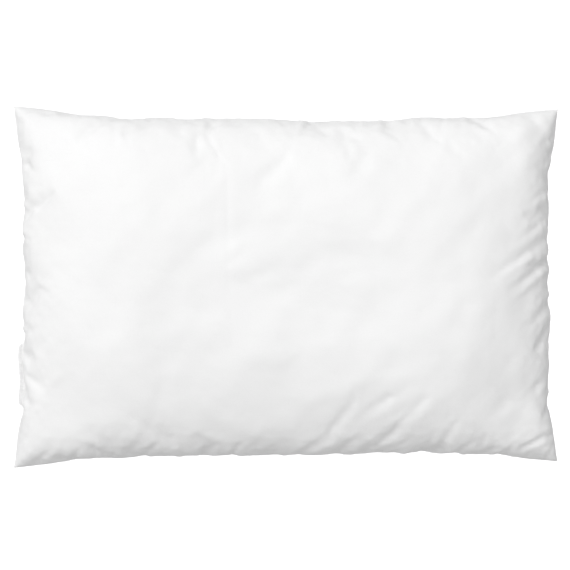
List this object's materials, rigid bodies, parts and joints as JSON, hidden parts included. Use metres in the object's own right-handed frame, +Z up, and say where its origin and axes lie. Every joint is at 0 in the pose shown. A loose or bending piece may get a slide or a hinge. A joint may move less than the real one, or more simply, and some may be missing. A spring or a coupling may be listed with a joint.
{
  "type": "bed pillow",
  "caption": "Plump rectangular bed pillow with a smooth cotton cover, turned seams drawn in between pointed corners, a stitched closing lip and a loose fibre fill, lying flat",
  "frame": {"origin": "on the surface that the pillow rests on, below the middle of its outline", "axes": "+Z up, out of the front panel; +X along the length, away from the closing lip; +Y across the width"},
  "size_m": [0.728, 0.484, 0.16],
  "materials": {
    "cotton_cover": "crisp matt plain-woven white cotton",
    "polyester_fibre": "loose lofty white fibre",
    "sewing_thread": "spun white sewing thread",
    "satin_tape": "soft white satin label tape, unprinted"
  },
  "bodies": {
    "root": {"front_panel": "cotton_cover", "back_panel": "cotton_cover", "fibre_filling": "polyester_fibre", "seam_needle_thread": "sewing_thread", "seam_bobbin_thread": "sewing_thread", "overlock_thread": "sewing_thread", "closing_needle_thread": "sewing_thread", "closing_bobbin_thread": "sewing_thread", "care_label": "satin_tape"}
  },
  "joints": []
}
